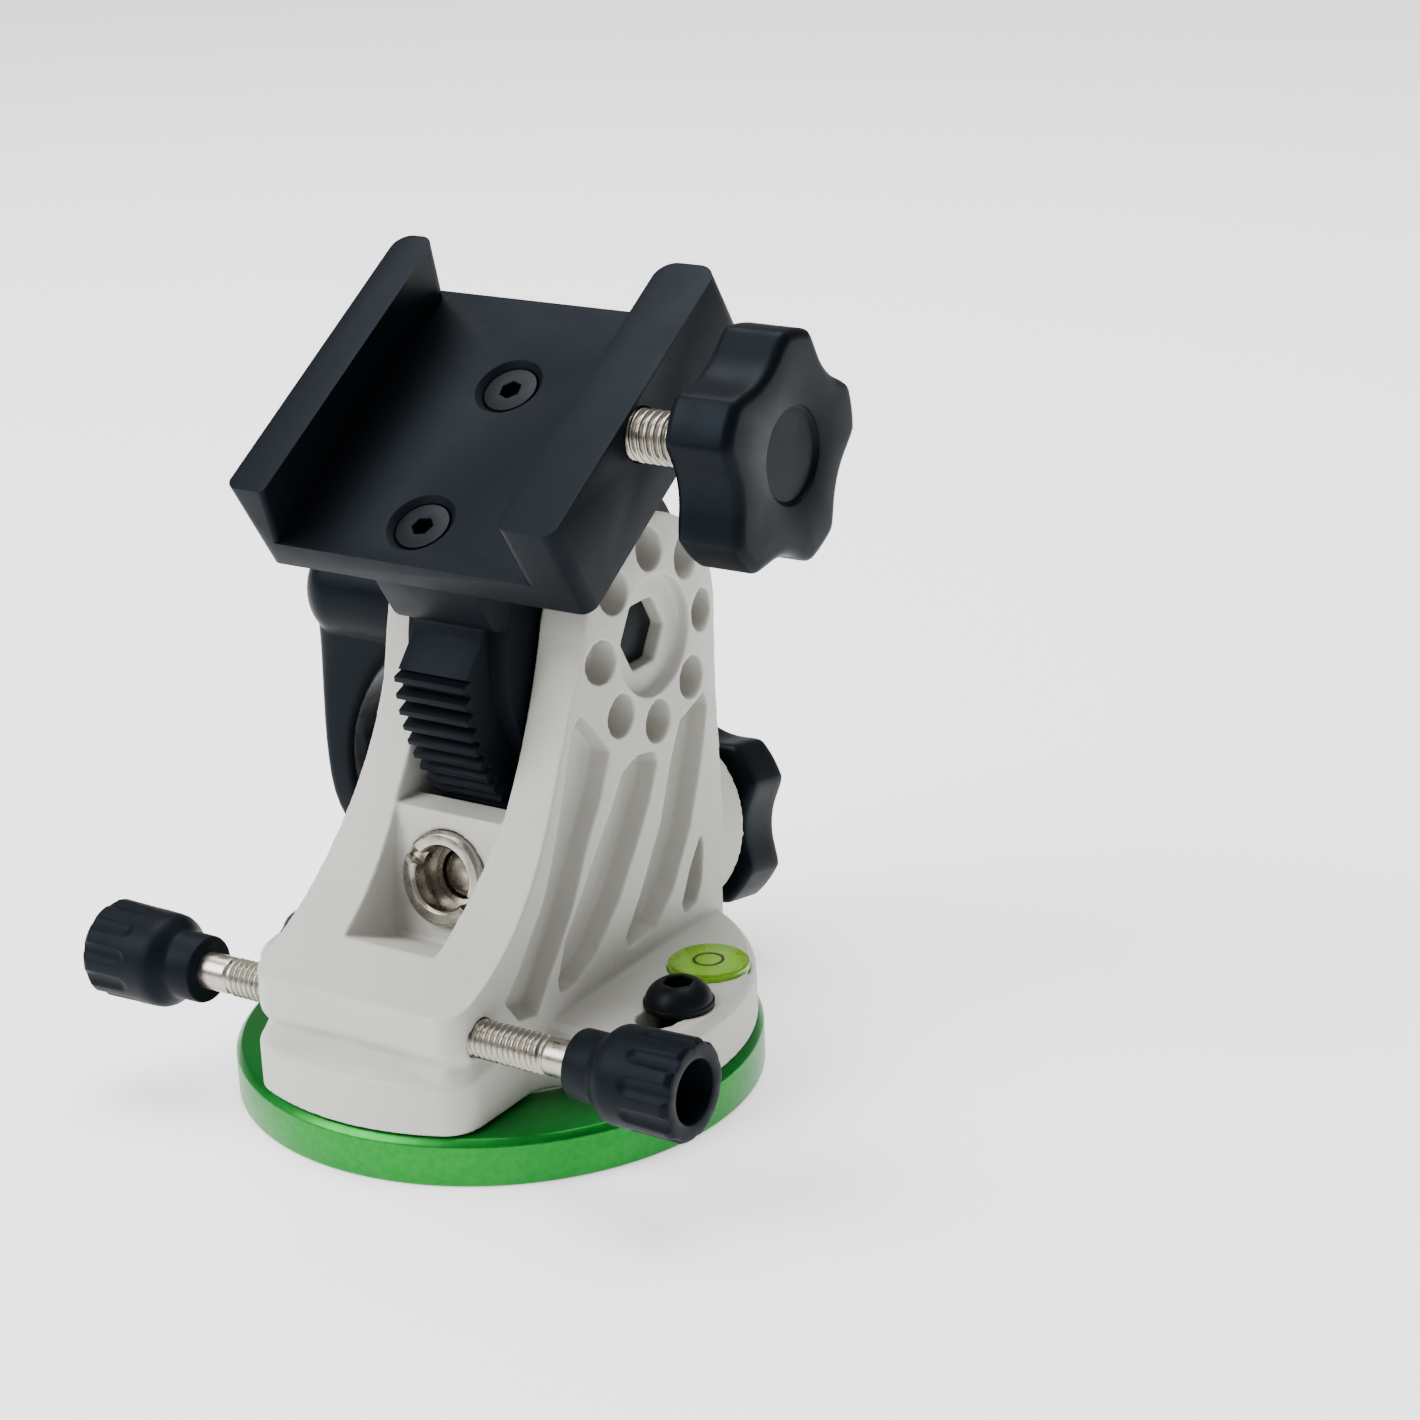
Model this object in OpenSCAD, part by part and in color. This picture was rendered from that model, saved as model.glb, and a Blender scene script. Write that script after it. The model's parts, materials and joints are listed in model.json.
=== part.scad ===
// Alt-azimuth wedge head for a small tracking mount.
// A round base plate screws onto a tripod, a cast fork turns on it for azimuth, and a
// dovetail saddle tilts in the fork on a sector gear that a worm drives.
// X runs along the altitude axis, Y points to the rear and Z up.
// The origin is the mouth of the tripod thread, at the centre of the underside.

/* [Base plate] */
// Diameter of the base plate
base_d = 83; // [82:0.5:88]
// Thickness of the base plate
base_t = 7.6; // [7:0.1:9]
// Chamfer on the top edge of the base plate
base_chamfer = 1; // [0.5:0.1:2]
// Radius of the central boss that the fork turns on
boss_r = 10; // [9:0.5:11]
// Major radius of the 3/8 inch tripod thread
tripod_r = 4.7625; // [4.7625]

/* [Fork casting] */
// Radius of the round flange
flange_r = 40.6; // [40:0.1:41.5]
// Height of the flange's top face above the ground
flange_top = 17; // [16:0.1:18]
// Half the width of the casting across the cheeks
fork_half = 19.4; // [19:0.1:21]
// Half the width of the channel between the cheeks
channel_half = 9.9; // [9.8:0.1:10.2]
// Height of the ledge in front of the channel
ledge_z = 46; // [45.5:0.1:46.5]

/* [Altitude axis] */
// Distance of the altitude axis behind the azimuth axis
alt_y = 19.5; // [19:0.1:20]
// Height of the altitude axis
alt_z = 68.4; // [68:0.1:69]
// Tilt of the saddle above level in the rest pose, degrees
rest_tilt = 32; // [25:1:40]
// Radius of the rounded top of each cheek
cheek_r = 18.6; // [18:0.1:20]

/* [Worm drive] */
// Teeth that a full circle of the sector gear would have
gear_teeth = 72; // [72]
// Pitch radius of the sector gear
gear_r = 31.1; // [31:0.05:31.2]
// Half the width of the sector gear
gear_half = 6.4; // [6:0.1:6.6]
// Slope of the worm shaft, down towards the rear, degrees
worm_slope = 11; // [10:0.5:12]
// Distance of the worm shaft from the altitude axis
worm_offset = 37.6; // [37.6:0.05:37.8]

/* [Azimuth drive] */
// Distance of the peg between the two adjusting screws from the azimuth axis
peg_reach = 30.4; // [30:0.1:31]
// Height of the adjusting screws
az_z = 21.65; // [21.5:0.05:22]
// Azimuth of the base against the fork in the rest pose, degrees
az_rest = 4.3; // [3:0.1:4.5]
// Azimuth travel to each side of the middle, degrees
az_travel = 5; // [4:0.5:5]
// Length of each adjusting screw outside its tip and knob
az_screw_len = 29.4; // [28:0.1:31]

/* [Saddle] */
// Length of the saddle
saddle_len = 53.6; // [52:0.2:56]
// Height of the saddle floor above the altitude axis
floor_w = 37; // [36.8:0.1:37.4]
// Height of the saddle walls above the altitude axis
wall_w = 48.8; // [48:0.1:50]
// Width of the groove at its floor
groove_w = 44.4; // [44.2:0.1:45]
// Slope of the undercut flank from upright, degrees
flank_angle = 15; // [12:0.5:18]

/* [Hidden] */

$fn = 64;

fit = 0.05;                      // radial play of a running fit
gap = 0.3;                       // distance between pieces that only pass each other
over = 1;                        // how far a cutting shape runs past the face it cuts

m6_r = 3;
m8_r = 4;
m6_pitch = 1;
m8_pitch = 1.25;
thread_depth = 0.45;             // radial depth of a drawn thread ridge

// Base plate
base_r = base_d / 2;
boss_top = 14.5;
bush_r = 6;
bush_flange_r = 7.5;
bush_flange_t = 2;
lock_reach = 33.3;               // distance of the lock screws from the azimuth axis
lock_lead = -2.6;                // angle of the middle of the right slot
lock_angle_right = lock_lead + az_rest;
lock_angle_left = 180 - lock_lead + az_rest;
slot_half = az_travel + 0.3;     // half angle that a lock screw can run along its slot
washer_t = 1;
head_seat = flange_top + fit + washer_t + fit;

// Fork casting
fork_bottom = 8;
nose_r = 41;                     // plan radius of the foot of the nose
foot_half = 19.8;
pocket_floor_half = 8;
foot_corner = 6;
foot_top = 16;
nose_front = -36.9;              // flat front of the nose above its foot
nose_corner = 4.5;
nose_lip_z = 26.5;
// Height above the foot and inset of each step of the hollow between foot and nose
nose_steps = [[0, 0.4], [0.3, 1.2], [0.7, 2], [1.2, 2.7], [1.9, 3.3], [2.9, 3.8]];
flange_front = -14;              // front edge of the flange beside the nose
flange_corner = 6;
fillet_r = 8;                    // hollow fillets between nose and flange
flute_depth = 4;
hole_circle_r = 13.9;
hole_r = 3.4;
hole_depth = 5;
level_x = 29.6;
level_y = 15.2;
level_floor = 13.3;
level_top = 18.1;
counterbore_r = 9.5;
cheek_y = alt_y + 0.9;           // middle of the rounded top of each cheek
counterbore_x = 17.2;
hex_pocket_x = 11;

// Altitude axis pieces
hub_half = 9.2;
hub_disc_r = 24.5;
hex_flats = 10;
bolt_head_h = 4;
lever_hub_r = 9;
lever_hub_end = 44.5;
lever_half_t = 6.5;

// Worm drive, measured along the worm shaft from the front face of the retainer
gear_module = gear_r * 2 / gear_teeth;
gear_tip_r = gear_r + gear_module;
gear_root_r = gear_r - 1.2 * gear_module;
gear_clear_r = gear_tip_r + 0.6;
worm_mesh_s = 25.7;              // where the gear touches the worm
worm_y = alt_y - worm_offset * sin(worm_slope) - worm_mesh_s * cos(worm_slope);
worm_z = alt_z - worm_offset * cos(worm_slope) + worm_mesh_s * sin(worm_slope);
tunnel_r = 7.4;
shaft_r = 4;
retainer_t = 6;
bush_front_end = 10;
worm_start = 14;
worm_end = 38;
rear_bush_start = 44;
rear_boss_end = 62;
rear_boss_r = 16;
worm_knob_start = 63.5;
knob_t = 10.8;

// Azimuth drive
peg_r = m6_r;
peg_x = peg_reach * sin(az_rest);
peg_y = -peg_reach * cos(az_rest);
tip_t = 2.1;
tip_r = 2.6;
tip_spigot_r = 1.2;
az_knob_len = 19.6;

// Saddle, in the tilted frame: x across, v along the groove, w away from the axis
saddle_front = -21.6;
saddle_bottom_w = 32.2;
saddle_left = -25.5;
saddle_right = 32.8;
groove_left = -21.6;
groove_right = groove_left + groove_w;
lip_left = groove_left + (wall_w - floor_w) * tan(flank_angle);
saddle_screw_v = [14.4, -13.5];
clamp_v = 2.9;
clamp_w = 43.8;
clamp_knob_start = 47.2;
clamp_lobe = 49;                 // angle of one lobe above the groove

// ---------- helpers ----------

// Extrudes a shape drawn as [y, z] between two x positions
module slab_x(x0, x1) {
    translate([x0, 0, 0]) rotate([90, 0, 90]) linear_extrude(height = x1 - x0) children();
}

// Cylinder along X between two x positions
module rod_x(x0, x1, r) {
    translate([x0, 0, 0]) rotate([0, 90, 0]) cylinder(h = x1 - x0, r = r);
}

// Cylinder along Z between two heights
module rod_z(z0, z1, r) {
    translate([0, 0, z0]) cylinder(h = z1 - z0, r = r);
}

// Moves children from the altitude axis into the fork
module at_altitude_axis() {
    translate([0, alt_y, alt_z]) children();
}

// Moves children drawn with a level saddle into the rest tilt
module tilted() {
    at_altitude_axis() rotate([rest_tilt, 0, 0]) children();
}

// Moves children drawn along +Z onto the worm shaft, running to the rear
module on_worm_shaft() {
    translate([0, worm_y, worm_z]) rotate([-90 - worm_slope, 0, 0]) children();
}

// Rod with ridges like a thread, along +Z
module ridged_rod(r, length, pitch) {
    turns = floor(length / pitch);
    core = r - thread_depth;
    edge = [for (i = [0 : turns - 1]) each [
        [core, i * pitch + 0.1 * pitch],
        [r, i * pitch + 0.45 * pitch],
        [r, i * pitch + 0.55 * pitch],
        [core, i * pitch + 0.9 * pitch]
    ]];
    rotate_extrude() polygon(concat([[0, 0], [core, 0]], edge, [[core, length], [0, length]]));
}

// Outline of a star knob with five lobes
module lobed_outline(r) {
    lobes = 5;
    scallop_r = 0.68 * r;      // round hollow between two lobes
    reach = 0.82 * r + scallop_r;
    difference() {
        circle(r = r);
        for (i = [0 : lobes - 1]) {
            rotate(i * 360 / lobes) translate([reach, 0]) circle(r = scallop_r);
        }
    }
}

// Hexagon prism along +Z with the given width across flats
module hex_prism(flats, h) {
    cylinder(h = h, r = flats / sqrt(3), $fn = 6);
}

// ---------- base ----------

// Green anodised disc with the pivot boss in the middle
module base_plate() {
    color("seagreen") difference() {
        union() {
            rotate_extrude() polygon([
                [0, 0], [base_r - 0.4, 0], [base_r, 0.4], [base_r, base_t - base_chamfer],
                [base_r - base_chamfer, base_t], [0, base_t]
            ]);
            rod_z(base_t - over, boss_top, boss_r);
        }
        rod_z(-over, boss_top + over, bush_r);
        rod_z(boss_top - bush_flange_t, boss_top + over, bush_flange_r);
        translate([peg_x, peg_y, 0]) rod_z(1, base_t + over, peg_r);
        for (a = [lock_angle_right, lock_angle_left]) {
            rotate(a) translate([lock_reach, 0, 0]) rod_z(-over, base_t + over, m6_r + fit);
        }
    }
}

// Steel insert with the tripod thread, flanged at the top so that it can't pull out
module tripod_bush() {
    color("silver") difference() {
        union() {
            rod_z(0, boss_top, bush_r);
            rod_z(boss_top - bush_flange_t, boss_top, bush_flange_r);
        }
        rod_z(-over, boss_top + over, tripod_r);
    }
}

// Dowel in the base plate that the two azimuth screws push against
module azimuth_peg() {
    color("silver") translate([peg_x, peg_y, 0]) rotate_extrude() polygon([
        [0, 1], [peg_r, 1], [peg_r, 25], [peg_r - 0.5, 25.5], [0, 25.5]
    ]);
}

// Thin nylon ring that the fork slides on
module slip_ring() {
    color("white") difference() {
        rod_z(base_t, fork_bottom - fit, 27);
        rod_z(base_t - over, fork_bottom + over, 12);
    }
}

// Plain washers under the heads of the lock screws
module lock_washers() {
    color("dimgray") for (a = [lock_angle_right, lock_angle_left]) {
        rotate(a) translate([lock_reach, 0, 0]) difference() {
            rod_z(flange_top + fit, flange_top + fit + washer_t, 5.5);
            rod_z(flange_top - over, flange_top + washer_t + over, m6_r + 0.2);
        }
    }
}

// Button head screw that clamps the fork to the base plate
module lock_screw(angle) {
    head_r = 5.25;
    head_h = 3.3;
    dome_r = 6.4;
    dome_drop = dome_r - head_h + 0.6;
    color("dimgray") rotate(angle) translate([lock_reach, 0, 0]) difference() {
        union() {
            rod_z(1, head_seat, m6_r - fit / 2);
            translate([0, 0, head_seat]) intersection() {
                cylinder(h = head_h, r = head_r);
                translate([0, 0, -dome_drop + 0.6]) sphere(r = dome_r);
            }
        }
        translate([0, 0, head_seat + head_h - 2]) hex_prism(4, 2 + over);
    }
}

module lock_screw_right() {
    lock_screw(lock_angle_right);
}

module lock_screw_left() {
    lock_screw(lock_angle_left);
}

// ---------- fork ----------

// Points along an arc about c, from angle a0 to angle a1
function arc(c, r, a0, a1, n = 12) =
    [for (i = [0 : n]) let (a = a0 + (a1 - a0) * i / n) c + r * [cos(a), sin(a)]];

// Plan outline of the nose: an arc in front, round corners and straight sides
module nose_plan(r, half, corner) {
    cx = half - corner;
    cy = -sqrt(pow(r - corner, 2) - pow(cx, 2));
    lean = atan2(cy, cx);
    polygon(concat(
        arc([0, 0], r, -180 - lean, lean, 24),
        arc([cx, cy], corner, lean, 0),
        [[half, 0], [-half, 0]],
        arc([-cx, cy], corner, 180, 180 - lean)
    ));
}

// Plan outline of the flange: a disc cut off in front, with round corners
module flange_plan(inset) {
    r = flange_r - inset;
    corner = flange_corner - inset;
    cy = flange_front + flange_corner;
    cx = sqrt(pow(r - corner, 2) - pow(cy, 2));
    lean = atan2(cy, cx);
    polygon(concat(
        arc([cx, cy], corner, -90, lean),
        arc([0, 0], r, lean, 180 - lean, 96),
        arc([-cx, cy], corner, 180 - lean, 270)
    ));
}

// Hollow fillets in plan between the nose and the front edge of the flange
module nose_fillets() {
    cx = fork_half + fillet_r;
    cy = flange_front - fillet_r;
    for (side = [-1, 1]) {
        polygon(concat(
            [[side * (fork_half - 3), cy], [side * fork_half, cy]],
            [for (p = arc([cx, cy], fillet_r, 180, 90)) [side * p[0], p[1]]],
            [[side * cx, flange_front + 3], [side * (fork_half - 3), flange_front + 3]]
        ));
    }
}

// Point on the hollow front curve of the cheeks, from the nose (t = 1) up to the round top (t = 0)
function front_curve(t) =
    let (p0 = [2.6, 73.5], p1 = [-2.7, 55.2], p2 = [-14, 32], p3 = [nose_front, nose_lip_z])
    pow(1 - t, 3) * p0 + 3 * pow(1 - t, 2) * t * p1 + 3 * (1 - t) * t * t * p2 + t * t * t * p3;

// Side view of the fork without its flange
module fork_profile() {
    steps = 20;
    curve = [for (i = [steps : -1 : 0]) front_curve(i / steps)];
    polygon(concat(
        [[nose_front, fork_bottom]], curve,
        [[cheek_y, alt_z + 5], [cheek_y + cheek_r - 0.3, alt_z - 3], [35.2, fork_bottom]]
    ));
    translate([cheek_y, alt_z]) circle(r = cheek_r, $fn = 128);
}

// Tapered recesses between the ribs of a cheek, as [y, z] outlines
module flute_outlines() {
    polygon([
        [0.8, 61.5], [-0.9, 59], [-2.6, 54], [-6.5, 46], [-12, 37], [-19.5, 29], [-24, 24.5],
        [-21, 20.5], [-16, 19.5], [-12, 25], [-5.5, 33], [-0.5, 40.5], [3.5, 47], [6.3, 54]
    ]);
    polygon([
        [13.5, 50.8], [18, 50], [18.6, 48], [16, 42.5], [11.5, 36], [6.5, 29.5], [0, 23.5],
        [-6, 20.5], [-10, 20.5], [-10.5, 22.5], [-8, 28.5], [-1, 36], [5.5, 44], [9, 49.5]
    ]);
    polygon([
        [32.8, 55], [33.8, 52.5], [31, 44], [27, 34], [21.5, 25.5], [16, 21],
        [8.5, 20.5], [8, 22.5], [12, 27.5], [19, 38], [22.5, 47], [25.5, 52.5]
    ]);
    polygon([[30.2, 32], [30.6, 29.5], [29.8, 24], [28, 20.7], [24.5, 20], [24, 22], [26.5, 27]]);
}

// Everything cut into the outer face of the right cheek
module cheek_cuts() {
    slab_x(fork_half - flute_depth, fork_half + over) flute_outlines();
    at_altitude_axis() {
        for (i = [0 : 7]) {
            rotate([i * 45, 0, 0]) translate([0, hole_circle_r, 0]) {
                rod_x(fork_half - hole_depth, fork_half + over, hole_r);
            }
        }
        rod_x(counterbore_x, fork_half + over, counterbore_r);
    }
}

// Arc slot for a lock screw around the azimuth axis, symmetric about the +X direction
module lock_slot() {
    half_w = m6_r + gap;
    end = lock_reach * [cos(slot_half), sin(slot_half)];
    translate([0, 0, fork_bottom - over]) linear_extrude(height = flange_top) polygon(concat(
        arc([0, 0], lock_reach + half_w, -slot_half, slot_half),
        arc(end, half_w, slot_half, slot_half + 180),
        arc([0, 0], lock_reach - half_w, slot_half, -slot_half),
        arc([end[0], -end[1]], half_w, 180 - slot_half, 360 - slot_half)
    ));
}

// What is cut off to round the right front edge of the nose
module nose_corner_cut() {
    c = [fork_half - nose_corner, nose_front + nose_corner];
    translate([0, 0, fork_bottom - over]) linear_extrude(height = 30) polygon(concat(
        arc(c, nose_corner, -90, 0),
        [[fork_half + over, c[1]], [fork_half + over, nose_front - over], [c[0], nose_front - over]]
    ));
}

// Flange, nose, cheeks and rear boss before anything is cut
module fork_solid() {
    translate([0, 0, fork_bottom]) {
        linear_extrude(height = flange_top - 1.4 - fork_bottom) {
            flange_plan(0);
            nose_fillets();
        }
        linear_extrude(height = flange_top - 0.6 - fork_bottom) flange_plan(0.4);
        linear_extrude(height = flange_top - fork_bottom) flange_plan(1.1);
        linear_extrude(height = foot_top - 0.5 - fork_bottom) nose_plan(nose_r, foot_half, foot_corner);
        for (s = nose_steps) {
            linear_extrude(height = foot_top - fork_bottom + s[0]) {
                nose_plan(nose_r - s[1], foot_half - 0.1 * s[1], foot_corner - 0.4 * s[1]);
            }
        }
    }
    difference() {
        slab_x(-fork_half, fork_half) fork_profile();
        for (side = [0, 1]) {
            mirror([side, 0, 0]) nose_corner_cut();
        }
    }
    on_worm_shaft() rod_z(rear_bush_start, rear_boss_end, rear_boss_r);
}

// Pocket in front of the worm retainer, narrower towards its floor
module front_pocket() {
    intersection() {
        slab_x(-channel_half, channel_half) polygon([
            [-9.5, ledge_z + over], [-13.3, 25.8], [-28.4, 31.3], [-60, 42.8], [-60, ledge_z + over]
        ]);
        rotate([90, 0, 0]) linear_extrude(height = 60) polygon([
            [-channel_half + 0.1, ledge_z + over], [channel_half - 0.1, ledge_z + over],
            [pocket_floor_half, 25], [-pocket_floor_half, 25]
        ]);
    }
}

// White cast fork: flange and nose below, two cheeks above with a channel between
module fork_casting() {
    color("ivory") difference() {
        fork_solid();
        // Channel between the cheeks and room for the sector gear
        slab_x(-channel_half, channel_half) {
            translate([-60, ledge_z]) square([120, 60]);
            translate([alt_y, alt_z]) circle(r = gear_clear_r, $fn = 128);
        }
        front_pocket();
        on_worm_shaft() {
            rod_z(-20, rear_bush_start + 2, tunnel_r + fit);
            rod_z(0, rear_boss_end + over, 7 + fit);
        }
        cheek_cuts();
        mirror([1, 0, 0]) cheek_cuts();
        at_altitude_axis() {
            rod_x(-fork_half - over, fork_half + over, m6_r + fit);
            rotate([0, 90, 0]) translate([0, 0, hex_pocket_x]) {
                rotate(30) hex_prism(hex_flats + 0.3, fork_half);
            }
        }
        // Pivot bore, lock screw slots and the pocket of the level
        rod_z(fork_bottom - over, boss_top + 1, boss_r + fit);
        rotate(lock_lead) lock_slot();
        rotate(180 - lock_lead) lock_slot();
        translate([level_x, level_y, 0]) rod_z(level_floor - 0.05, flange_top + over, 6.45);
        // Hollow of the nose round the peg, and the tapped holes of the azimuth screws
        translate([-8, -35, fork_bottom - over]) cube([16, 9, 19]);
        translate([0, -peg_reach, az_z]) rod_x(-fork_half - over, fork_half + over, m6_r + fit);
    }
}

// Clear cup of the round level
module level_vial() {
    color("greenyellow", 0.5) translate([level_x, level_y, 0]) difference() {
        union() {
            rod_z(level_floor, level_top - 0.4, 6.4);
            rod_z(level_floor, level_top, 6);
        }
        rod_z(level_floor + 0.9, level_top - 0.8, 5);
    }
}

// Liquid of the round level, with room for its bubble
module level_liquid() {
    color("yellowgreen", 0.6) translate([level_x, level_y, 0]) difference() {
        rod_z(level_floor + 0.95, level_top - 0.85, 4.95);
        rod_z(level_top - 1.55, level_top + over, 1.55);
    }
}

// Air bubble of the round level
module level_bubble() {
    color("palegreen", 0.6) translate([level_x, level_y, 0]) rod_z(level_top - 1.5, level_top - 0.9, 1.5);
}

// Centring ring printed on top of the level
module level_ring() {
    color("brown") translate([level_x, level_y, 0]) difference() {
        rod_z(level_top, level_top + 0.06, 2.5);
        rod_z(level_top - over, level_top + over, 2.05);
    }
}

// ---------- altitude axis ----------

// Hexagon bolt that the arm and the lever turn on
module altitude_bolt() {
    color("dimgray") at_altitude_axis() {
        rotate([0, 90, 0]) translate([0, 0, hex_pocket_x]) rotate(30) hex_prism(hex_flats, bolt_head_h);
        rod_x(-36, hex_pocket_x, m6_r - fit / 2);
    }
}

// Nylon washers between the arm and the cheeks
module altitude_washers() {
    color("white") at_altitude_axis() for (side = [0, 1]) {
        mirror([side, 0, 0]) difference() {
            rod_x(hub_half + fit, channel_half - fit, 8);
            rod_x(hub_half - over, channel_half + over, m6_r + 0.2);
        }
    }
}

// Steel washer under the hub of the lock lever
module lever_washer() {
    color("silver") at_altitude_axis() difference() {
        rod_x(-counterbore_x - washer_t, -counterbore_x, 8);
        rod_x(-counterbore_x - washer_t - over, -counterbore_x + over, m6_r + 0.2);
    }
}

// Brass nut moulded into the lock lever
module lever_nut() {
    color("gold") at_altitude_axis() difference() {
        rod_x(-27, -19, 5);
        rod_x(-27 - over, -19 + over, m6_r + fit / 2);
    }
}

// Black lever that clamps the altitude axis
module lock_lever() {
    hub_start = counterbore_x + washer_t + fit;
    color("#202326") difference() {
        union() {
            at_altitude_axis() rod_x(-lever_hub_end + 2, -hub_start, lever_hub_r);
            at_altitude_axis() rod_x(-lever_hub_end, -hub_start, lever_hub_r - 1.5);
            translate([0, alt_y + lever_half_t, 0]) rotate([90, 0, 0]) {
                linear_extrude(height = 2 * lever_half_t) polygon([
                    [-43.5, 66], [-42.8, 58], [-42.8, 45], [-42.5, 36], [-41, 30], [-38.5, 26],
                    [-36.5, 24.5], [-35.5, 27], [-36.3, 35], [-36.6, 41], [-35.6, 46],
                    [-33.5, 51], [-30.4, 56], [-26, 60.5], [-22, 62.5], [-22, 66]
                ]);
            }
        }
        at_altitude_axis() rod_x(-27.05, 0, 5 + fit / 2);
        at_altitude_axis() rod_x(-38, 0, m6_r + gap);
    }
}

// ---------- worm drive ----------

// Slotted ring that screws into the fork and holds the worm in
module worm_retainer() {
    color("silver") on_worm_shaft() difference() {
        rotate_extrude() polygon([
            [5, 0.4], [5.4, 0], [tunnel_r - 0.5, 0], [tunnel_r, 0.5], [tunnel_r, retainer_t], [5, retainer_t]
        ]);
        rotate(30) translate([-12, -1.1, -over]) cube([24, 2.2, 2 + over]);
    }
}

// Steel bush at the front end of the worm shaft
module worm_front_bush() {
    color("peru") on_worm_shaft() difference() {
        rod_z(retainer_t + 0.02, bush_front_end, tunnel_r);
        rod_z(retainer_t - over, bush_front_end + over, shaft_r + fit);
    }
}

// Flanged bronze bush at the rear end of the worm shaft
module worm_rear_bush() {
    color("peru") on_worm_shaft() difference() {
        union() {
            rod_z(rear_bush_start, rear_bush_start + 2, tunnel_r);
            rod_z(rear_bush_start, rear_boss_end - over, 7);
        }
        rod_z(rear_bush_start - over, rear_boss_end + over, shaft_r + fit);
    }
}

// Worm shaft; the worm itself is drawn at the root of its thread
module worm_shaft() {
    worm_root_r = worm_offset - gear_tip_r - 0.25;
    collar_r = 6.8;
    color("silver") on_worm_shaft() rotate_extrude() polygon([
        [0, 5.4], [2.2, 5.6], [3.4, 6.1], [shaft_r, 7], [shaft_r, bush_front_end + fit],
        [collar_r, bush_front_end + fit], [collar_r, worm_start], [worm_root_r, worm_start],
        [worm_root_r, worm_end], [collar_r, worm_end], [collar_r, rear_bush_start - fit],
        [shaft_r, rear_bush_start - fit], [shaft_r, worm_knob_start + 7], [0, worm_knob_start + 7]
    ]);
}

// Star knob on the worm shaft
module worm_knob() {
    color("#202326") on_worm_shaft() translate([0, 0, worm_knob_start]) difference() {
        union() {
            rotate(70) linear_extrude(height = knob_t) lobed_outline(18);
            rod_z(-0.8, knob_t, 8);
        }
        rod_z(-over, 7, shaft_r + 0.02);
        rod_z(knob_t - 1.2, knob_t + over, 7);
        rotate(70) translate([0, 0, 3]) rotate([0, 90, 36]) rod_z(shaft_r, 16, 2);
    }
}

// Grub screw that holds the star knob on the worm shaft
module worm_knob_screw() {
    color("dimgray") on_worm_shaft() translate([0, 0, worm_knob_start + 3]) {
        rotate(70) rotate([0, 90, 36]) difference() {
            rod_z(shaft_r + 0.04, 10, 2 - 0.02);
            translate([0, 0, 8.5]) hex_prism(2, 3);
        }
    }
}

// ---------- azimuth drive ----------

// Brass pad on the end of an azimuth screw; side is 1 on the right and -1 on the left
module azimuth_tip(side) {
    start = peg_r + fit + side * peg_x;
    color("gold") translate([0, -peg_reach, az_z]) scale_side(side) {
        rod_x(start, start + tip_t, tip_r);
        rod_x(start + tip_t - over, start + tip_t + 3, tip_spigot_r);
    }
}

// Mirrors children to the left when side is -1
module scale_side(side) {
    mirror([side < 0 ? 1 : 0, 0, 0]) children();
}

// Adjusting screw: bored for the pad, threaded, and plain next to the knob
module azimuth_screw(side) {
    start = peg_r + fit + side * peg_x + tip_t + fit;
    shank = 5;
    color("silver") translate([0, -peg_reach, az_z]) scale_side(side) difference() {
        union() {
            translate([start, 0, 0]) rotate([0, 90, 0]) {
                ridged_rod(m6_r - 0.02, az_screw_len - shank, m6_pitch);
            }
            rod_x(start + az_screw_len - shank - 0.2, start + az_screw_len + 8, m6_r - 0.1);
        }
        rod_x(start - over, start + 3.4, tip_spigot_r + fit);
    }
}

// Fluted knob of an adjusting screw
module azimuth_knob(side) {
    start = peg_r + fit + side * peg_x + tip_t + fit + az_screw_len;
    flutes = 10;
    color("#202326") translate([start, 0, 0]) difference() {
        rotate([0, 90, 0]) rotate_extrude() polygon([
            [0, 0], [4.8, 0], [5.3, 0.5], [5.3, 4.6], [6.8, 6.4], [7.5, 8.2],
            [7.7, az_knob_len - 1], [7, az_knob_len], [0, az_knob_len]
        ]);
        for (i = [0 : flutes - 1]) {
            rotate([i * 360 / flutes, 0, 0]) translate([0, 9.2, 0]) rod_x(10.5, az_knob_len + over, 2);
        }
        rod_x(az_knob_len - 8.5, az_knob_len + over, 4.75);
        rod_x(-over, 8.02, m6_r - 0.08);
    }
}

module azimuth_tip_right() {
    azimuth_tip(1);
}

module azimuth_screw_right() {
    azimuth_screw(1);
}

module azimuth_knob_right() {
    translate([0, -peg_reach, az_z]) azimuth_knob(1);
}

module azimuth_tip_left() {
    azimuth_tip(-1);
}

module azimuth_screw_left() {
    azimuth_screw(-1);
}

module azimuth_knob_left() {
    translate([0, -peg_reach, az_z]) mirror([1, 0, 0]) azimuth_knob(-1);
}

// ---------- arm and saddle ----------

// Toothed sector as [v, w], with angles counted from straight down towards the front
module gear_sector(first, last) {
    step = 360 / gear_teeth;
    mesh_angle = worm_slope + rest_tilt;
    function at(r, a) = [-r * sin(a), -r * cos(a)];
    count = floor((last - first) / step);
    teeth = [for (i = [0 : count - 1]) let (a = mesh_angle + (floor((first - mesh_angle) / step) + i) * step)
        each [
            at(gear_root_r, a + 0.14 * step), at(gear_tip_r, a + 0.34 * step),
            at(gear_tip_r, a + 0.66 * step), at(gear_root_r, a + 0.86 * step)
        ]];
    polygon(concat([[0, 0]], teeth, [[-25.9, 16.7], [-19.5, 18.5], [-15, 20]]));
}

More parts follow.
